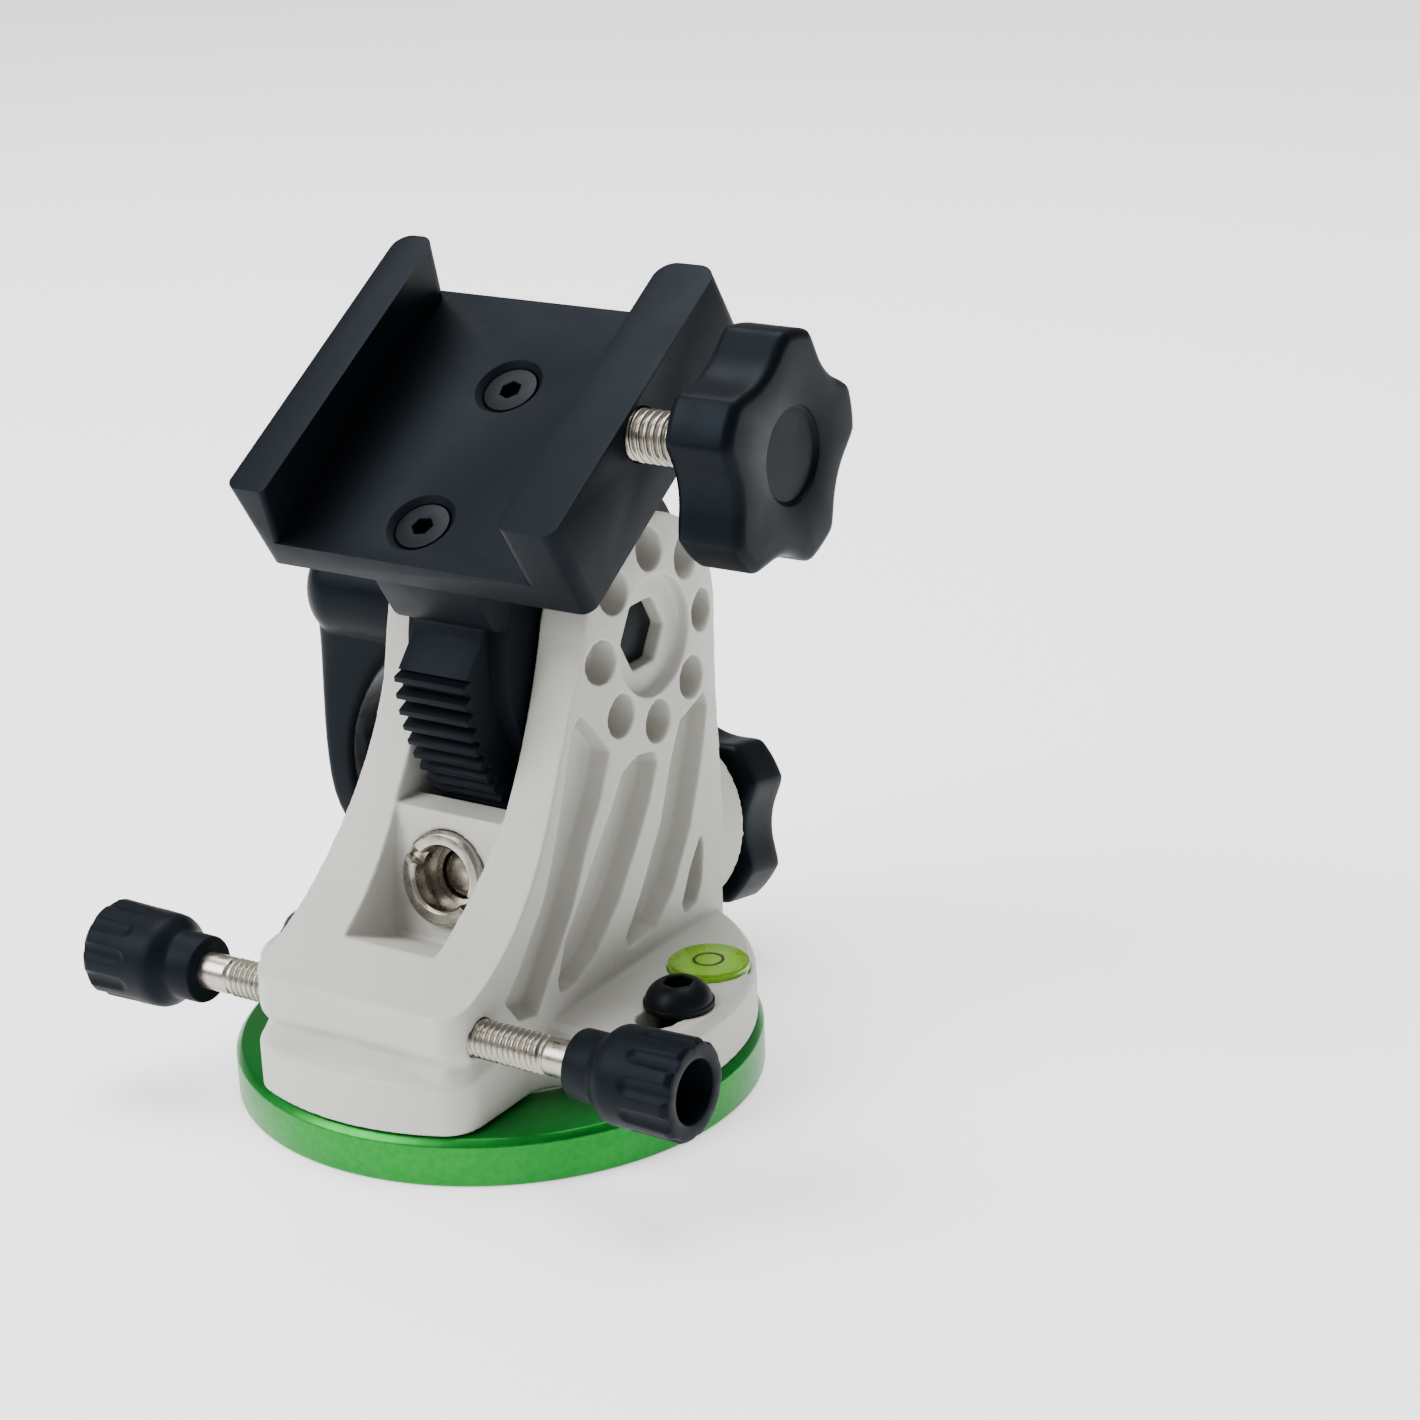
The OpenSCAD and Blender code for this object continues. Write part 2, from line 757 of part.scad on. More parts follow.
// Black arm: block under the saddle, hub and sector gear in one piece
module altitude_arm() {
    block_half_v = 19;
    edge_r = 4;
    color("#1b1e21") tilted() difference() {
        union() {
            slab_x(-hub_half + 0.1, hub_half - 0.1) {
                translate([-block_half_v, 18 + edge_r]) {
                    square([2 * block_half_v, saddle_bottom_w - 18 - edge_r]);
                }
                translate([-block_half_v + edge_r, 18]) square([2 * (block_half_v - edge_r), edge_r]);
                for (side = [-1, 1]) {
                    translate([side * (block_half_v - edge_r), 18 + edge_r]) circle(r = edge_r);
                }
                polygon([[-15, 19], [15, 19], [17, 0], [-17, 0]]);
            }
            rod_x(-hub_half, hub_half, hub_disc_r);
            rod_x(-gear_half, gear_half, gear_root_r - 3);
            slab_x(-gear_half, gear_half) gear_sector(0, 126);
        }
        rod_x(-hub_half - over, hub_half + over, m6_r + fit);
        for (v = saddle_screw_v) {
            translate([0, v, 0]) rod_z(20, saddle_bottom_w + over, 2.5);
        }
    }
}

// Outline of the saddle as [x, w]
module saddle_outline() {
    edge = 1;
    polygon([
        [saddle_left + edge, saddle_bottom_w], [saddle_right - edge, saddle_bottom_w],
        [saddle_right, saddle_bottom_w + edge], [saddle_right, wall_w - edge],
        [saddle_right - edge, wall_w], [groove_right + edge, wall_w],
        [groove_right, wall_w - edge], [groove_right, floor_w],
        [groove_left, floor_w], [lip_left, wall_w - 0.2], [lip_left - 0.4, wall_w],
        [saddle_left + edge, wall_w], [saddle_left, wall_w - edge],
        [saddle_left, saddle_bottom_w + edge]
    ]);
}

// Black dovetail saddle
module saddle() {
    color("#1b1e21") tilted() difference() {
        translate([0, saddle_front + saddle_len, 0]) rotate([90, 0, 0]) {
            linear_extrude(height = saddle_len) saddle_outline();
        }
        for (v = saddle_screw_v) {
            translate([0, v, 0]) {
                rod_z(saddle_bottom_w - over, floor_w + over, 2.7);
                rod_z(floor_w - 3.4, floor_w + over, 4.6);
                translate([0, 0, floor_w - 0.9]) cylinder(h = 0.91, r1 = 4.6, r2 = 5.5);
            }
        }
        translate([0, clamp_v, clamp_w]) rod_x(groove_right - over, saddle_right + over, m8_r + fit);
    }
}

// Two socket screws that hold the saddle on the arm
module saddle_screws() {
    color("#1b1e21") tilted() for (v = saddle_screw_v) {
        translate([0, v, 0]) difference() {
            union() {
                rod_z(22, floor_w - 3.4, 2.48);
                rod_z(floor_w - 3.4, floor_w - 0.7, 4.4);
            }
            translate([0, 0, floor_w - 2.6]) hex_prism(3, 3);
        }
    }
}

// Brass pad on the end of the clamp screw
module clamp_tip() {
    color("gold") tilted() translate([0, clamp_v, clamp_w]) {
        rod_x(groove_right + 0.2, groove_right + 2, 3.2);
        rod_x(groove_right + 1, groove_right + 5, 1.5);
    }
}

// M8 clamp screw
module clamp_screw() {
    start = groove_right + 2 + fit;
    color("silver") tilted() translate([0, clamp_v, clamp_w]) difference() {
        union() {
            translate([start, 0, 0]) rotate([0, 90, 0]) {
                ridged_rod(m8_r - 0.02, clamp_knob_start + 1 - start, m8_pitch);
            }
            rod_x(clamp_knob_start + 1, clamp_knob_start + 7, m8_r - 0.5);
        }
        rod_x(start - over, start + 3.4, 1.5 + fit);
    }
}

// Star knob of the clamp screw
module clamp_knob() {
    color("#202326") tilted() translate([clamp_knob_start, clamp_v, clamp_w]) {
        rotate([0, 90, 0]) difference() {
            rotate(clamp_lobe + 90 + 36) linear_extrude(height = knob_t) lobed_outline(17.6);
            rod_z(-over, 1.01, m8_r + fit);
            rod_z(0, 7.02, m8_r - 0.48);
            rod_z(knob_t - 1.6, knob_t + over, 7);
        }
    }
}

base_plate();
tripod_bush();
azimuth_peg();
slip_ring();
lock_washers();
lock_screw_right();
lock_screw_left();
fork_casting();
level_vial();
level_liquid();
level_bubble();
level_ring();
altitude_bolt();
altitude_washers();
lever_washer();
lever_nut();
lock_lever();
worm_retainer();
worm_front_bush();
worm_rear_bush();
worm_shaft();
worm_knob();
worm_knob_screw();
azimuth_tip_right();
azimuth_screw_right();
azimuth_knob_right();
azimuth_tip_left();
azimuth_screw_left();
azimuth_knob_left();
altitude_arm();
saddle();
saddle_screws();
clamp_tip();
clamp_screw();
clamp_knob();
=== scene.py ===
import json
import math

import bmesh
import bpy
from mathutils import Matrix, Vector


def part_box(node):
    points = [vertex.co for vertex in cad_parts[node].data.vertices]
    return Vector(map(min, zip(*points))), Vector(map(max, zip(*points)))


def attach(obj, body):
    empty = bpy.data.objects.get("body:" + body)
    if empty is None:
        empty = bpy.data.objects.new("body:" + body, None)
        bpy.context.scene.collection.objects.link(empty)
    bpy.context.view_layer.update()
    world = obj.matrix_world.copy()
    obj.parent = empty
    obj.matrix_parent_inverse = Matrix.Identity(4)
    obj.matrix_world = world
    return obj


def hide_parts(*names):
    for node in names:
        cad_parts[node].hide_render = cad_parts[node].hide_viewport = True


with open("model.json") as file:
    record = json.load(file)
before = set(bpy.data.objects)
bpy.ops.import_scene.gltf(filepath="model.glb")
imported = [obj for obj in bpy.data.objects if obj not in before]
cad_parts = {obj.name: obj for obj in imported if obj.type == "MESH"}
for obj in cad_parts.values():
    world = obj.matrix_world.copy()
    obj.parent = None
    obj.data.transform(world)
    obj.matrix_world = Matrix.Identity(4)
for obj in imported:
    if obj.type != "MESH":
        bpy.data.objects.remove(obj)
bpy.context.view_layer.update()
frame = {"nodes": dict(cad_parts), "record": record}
NODES = frame["nodes"]

MM = 0.001

# Altitude axis in millimetres, tilt of the saddle at rest and slope of the worm shaft
ALT_Y, ALT_Z = 19.5, 68.4
ALT = Vector((0, ALT_Y, ALT_Z)) * MM
TILT = math.radians(32)
SLOPE = math.radians(11)

# Gap between the altitude axis and the worm shaft, and the place of the mesh along the shaft
WORM_GAP, WORM_MESH = 37.6, 25.7


# ---------------------------------------------------------------- places

# Saddle frame: x across, y along the groove, z away from the altitude axis, in millimetres
SADDLE = Matrix.Translation(ALT) @ Matrix.Rotation(TILT, 4, "X") @ Matrix.Scale(MM, 4)

# Worm frame: z runs along the worm shaft to the rear from the front face of the retainer
WORM_START = Vector((0, ALT_Y - WORM_GAP * math.sin(SLOPE) - WORM_MESH * math.cos(SLOPE),
                     ALT_Z - WORM_GAP * math.cos(SLOPE) + WORM_MESH * math.sin(SLOPE))) * MM
WORM = (Matrix.Translation(WORM_START) @ Matrix.Rotation(-math.pi / 2 - SLOPE, 4, "X")
        @ Matrix.Scale(MM, 4))


# ---------------------------------------------------------------- materials

def clear(name):
    """New material with an empty node tree."""
    mat = bpy.data.materials.new(name)
    mat.use_nodes = True
    mat.node_tree.nodes.clear()
    return mat, mat.node_tree


def add(tree, kind, inputs=None, **settings):
    n = tree.nodes.new(kind)
    for key, value in settings.items():
        setattr(n, key, value)
    for key, value in (inputs or {}).items():
        n.inputs[key].default_value = value
    return n


def rgba(c):
    return (c[0], c[1], c[2], 1.0)


def noise(tree, vector, scale, detail):
    n = add(tree, "ShaderNodeTexNoise", {"Scale": scale, "Detail": detail, "Roughness": 0.5})
    tree.links.new(vector, n.inputs["Vector"])
    return n.outputs["Fac"]


def remap(tree, value, low, high, from_low=0.3, from_high=0.7):
    n = add(tree, "ShaderNodeMapRange", {"From Min": from_low, "From Max": from_high,
                                         "To Min": low, "To Max": high})
    tree.links.new(value, n.inputs["Value"])
    return n.outputs["Result"]


def blend(tree, fac, a, b):
    """Colour mix; fac, a and b are sockets or constants."""
    n = add(tree, "ShaderNodeMix", data_type="RGBA", blend_type="MIX")
    for index, value in ((0, fac), (6, a), (7, b)):
        if hasattr(value, "links"):
            tree.links.new(value, n.inputs[index])
        else:
            n.inputs[index].default_value = value
    return n.outputs[2]


def bump(tree, height, strength, distance, normal=None):
    n = add(tree, "ShaderNodeBump", {"Strength": strength, "Distance": distance})
    tree.links.new(height, n.inputs["Height"])
    if normal is not None:
        tree.links.new(normal, n.inputs["Normal"])
    return n.outputs["Normal"]


def edges(tree):
    """1 on worn convex edges and 0 elsewhere."""
    geo = add(tree, "ShaderNodeNewGeometry")
    return remap(tree, geo.outputs["Pointiness"], 0.0, 1.0, 0.52, 0.58)


# Noise scales of the slow colour change and of the worn spots
SHADE_SCALE, WEAR_SCALE = 60.0, 900.0


def make(name, colour, dark, rough, metallic=0.0, grain=(), wear=None, spec=0.5,
         tint=(1, 1, 1), rough_scale=180.0):
    """Finish with colour variation, roughness variation, layered bump and worn edges.

    rough is (smoothest, roughest) and grain holds (scale, strength, distance) of each bump layer.
    """
    mat, t = clear(name)
    out = add(t, "ShaderNodeOutputMaterial")
    sh = add(t, "ShaderNodeBsdfPrincipled", {"Metallic": metallic, "Specular IOR Level": spec,
                                             "Specular Tint": rgba(tint)})
    t.links.new(sh.outputs["BSDF"], out.inputs["Surface"])
    where = add(t, "ShaderNodeTexCoord").outputs["Object"]
    tone = remap(t, noise(t, where, SHADE_SCALE, 4.0), 0.0, 1.0)
    base = blend(t, tone, rgba(dark), rgba(colour))
    if wear:
        spots = remap(t, noise(t, where, WEAR_SCALE, 3.0), 0.0, 1.0, 0.4, 0.62)
        mask = add(t, "ShaderNodeMath", operation="MULTIPLY")
        t.links.new(edges(t), mask.inputs[0])
        t.links.new(spots, mask.inputs[1])
        base = blend(t, mask.outputs[0], base, rgba(wear))
    t.links.new(base, sh.inputs["Base Color"])
    gloss = remap(t, noise(t, where, rough_scale, 4.0), rough[0], rough[1])
    t.links.new(gloss, sh.inputs["Roughness"])
    normal = None
    for scale, strength, distance in grain:
        normal = bump(t, noise(t, where, scale, 2.0), strength, distance, normal)
    if normal is not None:
        t.links.new(normal, sh.inputs["Normal"])
    return mat


MATS = {
    "green_anodised": make("green_anodised", (0.001, 0.20, 0.018), (0.001, 0.182, 0.0162),
                           (0.30, 0.38), metallic=0.75, grain=((1500, 0.12, 0.00002),),
                           wear=(0.12, 0.5, 0.16), rough_scale=400),
    "white_coat": make("white_coat", (0.50, 0.495, 0.455), (0.475, 0.47, 0.43), (0.42, 0.52),
                       spec=0.4, grain=((900, 0.42, 0.00016), (2600, 0.12, 0.00004)),
                       rough_scale=260),
    "black_anodised": make("black_anodised", (0.0034, 0.0044, 0.0062), (0.0030, 0.0039, 0.0056),
                           (0.45, 0.52), spec=0.09, tint=(0.6, 0.8, 1.0),
                           grain=((2600, 0.22, 0.00003),)),
    "black_steel": make("black_steel", (0.0035, 0.0040, 0.0048), (0.0025, 0.0029, 0.0036),
                        (0.34, 0.46), spec=0.12, tint=(0.7, 0.85, 1.0),
                        grain=((1200, 0.2, 0.00003),)),
    "black_plastic": make("black_plastic", (0.0024, 0.0034, 0.0050), (0.0017, 0.0025, 0.0038),
                          (0.36, 0.46), spec=0.08, tint=(0.6, 0.8, 1.0),
                          grain=((1800, 0.15, 0.00003),)),
    "nickel": make("nickel", (0.42, 0.39, 0.34), (0.33, 0.31, 0.27), (0.22, 0.36), metallic=1.0,
                   grain=((900, 0.12, 0.00003), (3000, 0.10, 0.00002)), rough_scale=700),
    "brass": make("brass", (0.62, 0.43, 0.17), (0.50, 0.34, 0.12), (0.28, 0.42), metallic=1.0,
                  grain=((1500, 0.15, 0.00003),)),
    "bronze": make("bronze", (0.46, 0.27, 0.13), (0.34, 0.20, 0.09), (0.42, 0.56), metallic=1.0,
                   grain=((2500, 0.3, 0.00004),)),
    "nylon": make("nylon", (0.72, 0.71, 0.66), (0.66, 0.65, 0.60), (0.45, 0.55),
                  grain=((1500, 0.2, 0.00003),)),
}


def tinted(name, colour, deep, rough, painted_glow=0.0, transmission=0.0):
    """Coloured piece of the bullseye level; any emission strength given is painted light shining
    out of it, not a lamp.
    """
    mat, t = clear(name)
    out = add(t, "ShaderNodeOutputMaterial")
    sh = add(t, "ShaderNodeBsdfPrincipled", {"Transmission Weight": transmission, "IOR": 1.45,
                                             "Emission Color": rgba(colour),
                                             "Emission Strength": painted_glow})
    t.links.new(sh.outputs["BSDF"], out.inputs["Surface"])
    where = add(t, "ShaderNodeTexCoord").outputs["Object"]
    tone = remap(t, noise(t, where, 300.0, 2.0), 0.0, 1.0)
    t.links.new(blend(t, tone, rgba(deep), rgba(colour)), sh.inputs["Base Color"])
    t.links.new(remap(t, noise(t, where, 900.0, 2.0), rough[0], rough[1]), sh.inputs["Roughness"])
    return mat


MATS["level_shell"] = tinted("level_shell", (0.42, 0.80, 0.04), (0.36, 0.72, 0.03),
                             (0.05, 0.12), transmission=0.6)
# The liquid and the bubble emit a little light: painted light standing in for light shining through
# the level.
MATS["level_liquid"] = tinted("level_liquid", (0.58, 0.82, 0.02), (0.50, 0.76, 0.01),
                              (0.10, 0.20), painted_glow=0.15)
MATS["level_bubble"] = tinted("level_bubble", (0.88, 0.96, 0.60), (0.80, 0.92, 0.50),
                              (0.05, 0.15), painted_glow=0.1)
MATS["level_print"] = tinted("level_print", (0.030, 0.009, 0.003), (0.020, 0.006, 0.002),
                             (0.35, 0.45))

SLOT_OF = {s["node"]: s["material_slot"] for s in frame["record"]["subparts"]}
BODY_OF = {n: b for b, ns in frame["record"]["behaviour"]["bodies"].items() for n in ns}


def dress(obj, slot):
    obj.data.materials.clear()
    obj.data.materials.append(MATS[slot])


for name, obj in NODES.items():
    dress(obj, SLOT_OF[name])


# ---------------------------------------------------------------- mesh tools

def smooth(obj, angle):
    """Smooth shading, except over edges sharper than the angle in degrees."""
    obj.data.shade_smooth()
    obj.data.set_sharp_from_angle(angle=math.radians(angle))


def apply_modifiers(obj):
    bpy.context.view_layer.update()
    evaluated = obj.evaluated_get(bpy.context.evaluated_depsgraph_get())
    shape = bpy.data.meshes.new_from_object(evaluated)
    obj.modifiers.clear()
    old = obj.data
    obj.data = shape
    bpy.data.meshes.remove(old)


def place(obj, node):
    """obj stands for a CAD node: same body, same finish."""
    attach(obj, BODY_OF[node])
    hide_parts(node)
    dress(obj, SLOT_OF[node])
    return obj


def from_bmesh(name, bm):
    """New object that takes over bm, with its faces turned outwards."""
    mesh = bpy.data.meshes.new(name)
    bmesh.ops.recalc_face_normals(bm, faces=bm.faces)
    bm.to_mesh(mesh)
    bm.free()
    obj = bpy.data.objects.new(name, mesh)
    bpy.context.scene.collection.objects.link(obj)
    return obj


def welded(node):
    """bmesh of a CAD node with its split corners joined and its flat faces whole."""
    bm = bmesh.new()
    bm.from_mesh(NODES[node].data)
    bmesh.ops.remove_doubles(bm, verts=bm.verts, dist=2e-6)
    bmesh.ops.dissolve_limit(bm, angle_limit=math.radians(0.5), verts=bm.verts, edges=bm.edges)
    return bm


def bevel(obj, width, segments, angle):
    """Rounds every edge sharper than the angle in degrees; width in millimetres."""
    m = obj.modifiers.new("edge", "BEVEL")
    m.width = width * MM
    m.segments = segments
    m.limit_method = "ANGLE"
    m.angle_limit = math.radians(angle)
    m.use_clamp_overlap = True
    m.harden_normals = False
    apply_modifiers(obj)


def crisp(node, width):
    """CAD node with small rounded edges."""
    obj = from_bmesh(node + "_fine", welded(node))
    bevel(obj, width, 2, 35)
    smooth(obj, 40)
    return place(obj, node)


def remeshed(name, bm, voxel):
    """Closed mesh rebuilt on a grid of voxel millimetres, with its edges softened."""
    obj = from_bmesh(name, bm)
    m = obj.modifiers.new("grid", "REMESH")
    m.mode = "VOXEL"
    m.voxel_size = voxel * MM
    s = obj.modifiers.new("soft", "SMOOTH")
    s.factor = 0.5
    s.iterations = 3
    apply_modifiers(obj)
    obj.data.shade_smooth()
    return obj


def smin(a, b, k):
    """Smooth minimum with blend width k."""
    h = max(k - abs(a - b), 0.0) / k
    return min(a, b) - h * h * k * 0.25


def revolve(name, rings, matrix, segments):
    """Surface of revolution: rings are (r, z), where r is a number or a function of the angle."""
    bm = bmesh.new()
    rows = []
    for r, z in rings:
        if not callable(r) and r <= 0:
            rows.append([bm.verts.new((0, 0, z))])
            continue
        row = []
        for i in range(segments):
            a = 2 * math.pi * i / segments
            rr = r(a) if callable(r) else r
            row.append(bm.verts.new((rr * math.cos(a), rr * math.sin(a), z)))
        rows.append(row)
    for a, b in zip(rows, rows[1:]):
        for i in range(segments):
            j = (i + 1) % segments
            if len(a) == 1 and len(b) == 1:
                continue
            if len(a) == 1:
                bm.faces.new((a[0], b[i], b[j]))
            elif len(b) == 1:
                bm.faces.new((a[i], a[j], b[0]))
            else:
                bm.faces.new((a[i], a[j], b[j], b[i]))
    bmesh.ops.transform(bm, matrix=matrix, verts=bm.verts)
    return from_bmesh(name, bm)


def bend(r0, z0, r1, z1, corner="out", steps=5):
    """Quarter ellipse from (r0, z0) to (r1, z1); corner says which way it bulges."""
    pts = []
    for i in range(steps + 1):
        t = math.pi / 2 * i / steps
        if corner == "out":
            pts.append((r0 + (r1 - r0) * math.sin(t), z0 + (z1 - z0) * (1 - math.cos(t))))
        else:
            pts.append((r0 + (r1 - r0) * (1 - math.cos(t)), z0 + (z1 - z0) * math.sin(t)))
    return pts


def flank(turns, low, span):
    """Height of a thread's ridge, from 0 to 1, at a phase in turns."""
    d = abs(turns % 1.0 - 0.5) * 2
    return min(max((d - low) / span, 0.0), 1.0)


def ramp(value, low, span):
    """0 below low, 1 above low + span, and even between them."""
    return min(max((value - low) / span, 0.0), 1.0)


# ---------------------------------------------------------------- fork

fork = remeshed("fork_cast", welded("fork_casting"), 0.34)


# Cheek hubs in millimetres: half width of the flat middle, depth that stays put, widest reach and
# strength of the rounding, and the heights between which the rounding fades in
HUB_FLAT, HUB_CORE_X, HUB_REACH, HUB_CROWN = 9.8, 11.5, 20.5, 0.017
HUB_FADE_LOW, HUB_FADE_HIGH = 28, 58
CHEEK_X = 19.4


def crown_cheeks(obj):
    """Rounds the outer face of each cheek away from the middle of the hub, always inwards."""
    for v in obj.data.vertices:
        side, depth = math.copysign(1, v.co.x), abs(v.co.x) / MM
        rise = max(v.co.z - ALT.z, 0.0) / MM
        reach = min(math.hypot((v.co.y - ALT.y) / MM, rise), HUB_REACH)
        if depth < HUB_CORE_X or reach < HUB_FLAT:
            continue
        t = ramp(v.co.z / MM, HUB_FADE_LOW, HUB_FADE_HIGH - HUB_FADE_LOW)
        share = min((depth - HUB_CORE_X) / (CHEEK_X - HUB_CORE_X), 1.0)
        fall = HUB_CROWN * (reach - HUB_FLAT) ** 2 * t * t * (3 - 2 * t) * share
        v.co.x = side * (depth - fall) * MM


# Hollow band round the nose just above its foot, in millimetres, and where its front and its
# flanks begin
BAND_Z, BAND_HALF, BAND_DEPTH = 18.3, 1.5, 1.3
FRONT_Y, FLANK_Y, FLANK_X, FLANK_SHARE = 32.5, 26, 16.5, 0.55


def hollow_nose(obj):
    """Presses a shallow band into the front of the nose and fades it out along its sides."""
    for v in obj.data.vertices:
        x, y, z = v.co / MM
        push = BAND_DEPTH * math.exp(-((z - BAND_Z) / BAND_HALF) ** 2)
        front = ramp(-y, FRONT_Y, 3)
        flank = ramp(abs(x), FLANK_X, 2) * ramp(-y, FLANK_Y, 3)
        v.co.y += push * front * MM
        v.co.x -= math.copysign(FLANK_SHARE * push * flank * MM, x)


crown_cheeks(fork)
hollow_nose(fork)
place(fork, "fork_casting")


# ---------------------------------------------------------------- screws and knobs

def hexagon(flats):
    """Radius of a hexagon at each angle, for rings of revolve()."""
    def at(a):
        return flats / 2 / math.cos((a + math.pi / 6) % (math.pi / 3) - math.pi / 6)
    return at


# Star knobs: number of lobes, softness of the lobe edges, rounding of both rims, thickness and
# radius of the dish
LOBES, LOBE_SOFT, STAR_EDGE, STAR_T, DISH_R = 5, 2.2, 1.6, 10.8, 7


def star_outline(radius, turn, inset=0.0):
    """Radius of a star knob at each angle; turn is the angle of one scallop."""
    scallop = 0.68 * radius
    reach = 0.82 * radius + scallop
    step = 2 * math.pi / LOBES

    def at(a):
        phi = (a - turn + step / 2) % step - step / 2
        room = (scallop + inset) ** 2 - (reach * math.sin(phi)) ** 2
        tip = radius - inset
        if room <= 0:
            return tip
        return smin(tip, reach * math.cos(phi) - math.sqrt(room), LOBE_SOFT)
    return at


def star_knob(name, matrix, radius, turn, hub_r, hub_long, dish_depth):
    """Closed star knob with a hub in front of z = 0 and a dish in its far face."""
    rings = [(0, -hub_long)]
    rings += bend(hub_r - 0.5, -hub_long, hub_r, -hub_long + 0.5, steps=3)
    rings += [(hub_r, -0.3)] + bend(hub_r, -0.3, hub_r + 0.3, 0, "in", 2)
    turns = [math.pi / 2 * i / 6 for i in range(7)]
    for t in turns:
        rings.append((star_outline(radius, turn, STAR_EDGE * (1 - math.sin(t))),
                      STAR_EDGE * (1 - math.cos(t))))
    for i in range(1, 5):
        rings.append((star_outline(radius, turn), STAR_EDGE + (STAR_T - 2 * STAR_EDGE) * i / 5))
    for t in turns:
        rings.append((star_outline(radius, turn, STAR_EDGE * (1 - math.cos(t))),
                      STAR_T - STAR_EDGE * (1 - math.sin(t))))
    floor_z = STAR_T - dish_depth
    rings += [(DISH_R + 0.35, STAR_T), (DISH_R + 0.1, STAR_T - 0.12), (DISH_R, STAR_T - 0.35),
              (DISH_R - 0.1, floor_z + 0.3), (DISH_R - 0.45, floor_z), (0, floor_z)]
    obj = revolve(name, rings, matrix, 240)
    smooth(obj, 38)
    return obj


def x_frame(x, y, z, side):
    """Frame in millimetres whose local Z runs along +X, or along -X when side is -1."""
    spin = Matrix.Rotation(math.pi / 2 * side, 4, "Y")
    return Matrix.Translation(Vector((x, y, z)) * MM) @ spin @ Matrix.Scale(MM, 4)


# Saddle in millimetres, in its own frame: sides, ends, heights of its underside, floor and top,
# inner faces of the two jaws and undercut of the left one
SADDLE_LEFT, SADDLE_RIGHT = -25.5, 32.8
SADDLE_FRONT, SADDLE_REAR = -21.6, 32.0
SADDLE_UNDER, SADDLE_FLOOR, SADDLE_TOP = 32.2, 37.0, 48.8
JAW_LEFT, JAW_RIGHT = -21.6, 22.8
UNDERCUT = math.tan(math.radians(15))
SCREW_PLACES = (14.4, -13.5)

# Clamp screw: its axis in the saddle frame, start of its thread behind the pad, and thread
CLAMP_V, CLAMP_W = 2.9, 43.8
CLAMP_START, CLAMP_END = JAW_RIGHT + 2.05 + 0.05, 48.1
CLAMP_R, CLAMP_DEPTH, CLAMP_PITCH = 3.95, 0.62, 1.25


def clamp_frame(x):
    """Frame on the clamp screw's axis at x in the saddle frame, with local Z along the screw."""
    return (SADDLE @ Matrix.Translation((x, CLAMP_V, CLAMP_W))
            @ Matrix.Rotation(math.pi / 2, 4, "Y"))


place(star_knob("clamp_star", clamp_frame(47.2), 17.55, math.radians(49 + 90 + 36), 5.5, 0, 0.7),
      "clamp_knob")
place(star_knob("worm_star", WORM @ Matrix.Translation((0, 0, 63.5)), 17.95, math.radians(70),
                7.9, 0.75, 1.15), "worm_knob")


def clamp_thread():
    """Clamp screw with a helical thread that fades at both ends."""
    crest = 0.16
    length = CLAMP_END - CLAMP_START
    count = int(length / CLAMP_PITCH * 10)
    run_out = 0.6 * CLAMP_PITCH

    def radius(z):
        def at(a):
            h = flank(z / CLAMP_PITCH - a / (2 * math.pi), crest, 1 - 2 * crest)
            fade = min(1.0, (z - CLAMP_START) / run_out, (CLAMP_END - z) / run_out)
            return CLAMP_R - CLAMP_DEPTH * (1 - h * max(fade, 0.0))
        return at
    heights = [CLAMP_START + length * i / count for i in range(count + 1)]
    rings = [(0, CLAMP_START)] + [(radius(z), z) for z in heights] + [(0, CLAMP_END)]
    obj = revolve("clamp_thread", rings, clamp_frame(0), 64)
    smooth(obj, 60)
    return place(obj, "clamp_screw")


clamp_thread()

# Azimuth screws: their axis, the fork's angle at rest, the peg's offset from the middle at that
# angle, the peg's radius with its play, the brass pad, and the screw's length up to the knob
AZ_Y, AZ_Z = -30.4, 21.65
AZ_REST = math.radians(4.3)
PEG_X = 30.4 * math.sin(AZ_REST)
PEG_R, PAD_T, SCREW_LEN = 3.05, 2.15, 29.4


def azimuth_screw(name, node, side):
    """Threaded for most of its length, with a plain shank next to the knob."""
    start = PEG_R + side * PEG_X + PAD_T
    first, stop, end = 0.05, SCREW_LEN - 5.2, SCREW_LEN + 7.9
    pitch, r, depth, shank = 1.0, 2.97, 0.55, 2.88
    count = int(stop / pitch * 10)

    def radius(z):
        def at(a):
            h = flank(z / pitch - a / (2 * math.pi), 0.15, 0.7)
            ends = min(1.0, max(0.0, (z - first) / 0.8), max(0.0, (stop - z) / 0.6))
            return r - depth * (h if ends >= 1 else 1 - (1 - h) * ends)
        return at
    heights = [first + (stop - first) * i / count for i in range(count + 1)]
    rings = [(0, first)] + [(radius(z), z) for z in heights]
    rings += [(2.55, stop + 0.1), (2.84, stop + 0.35), (shank, stop + 0.6), (shank, end), (0, end)]
    obj = revolve(name, rings, x_frame(side * start, AZ_Y, AZ_Z, side), 48)
    smooth(obj, 60)
    return place(obj, node)


azimuth_screw("azimuth_thread_right", "azimuth_screw_right", 1)
azimuth_screw("azimuth_thread_left", "azimuth_screw_left", -1)


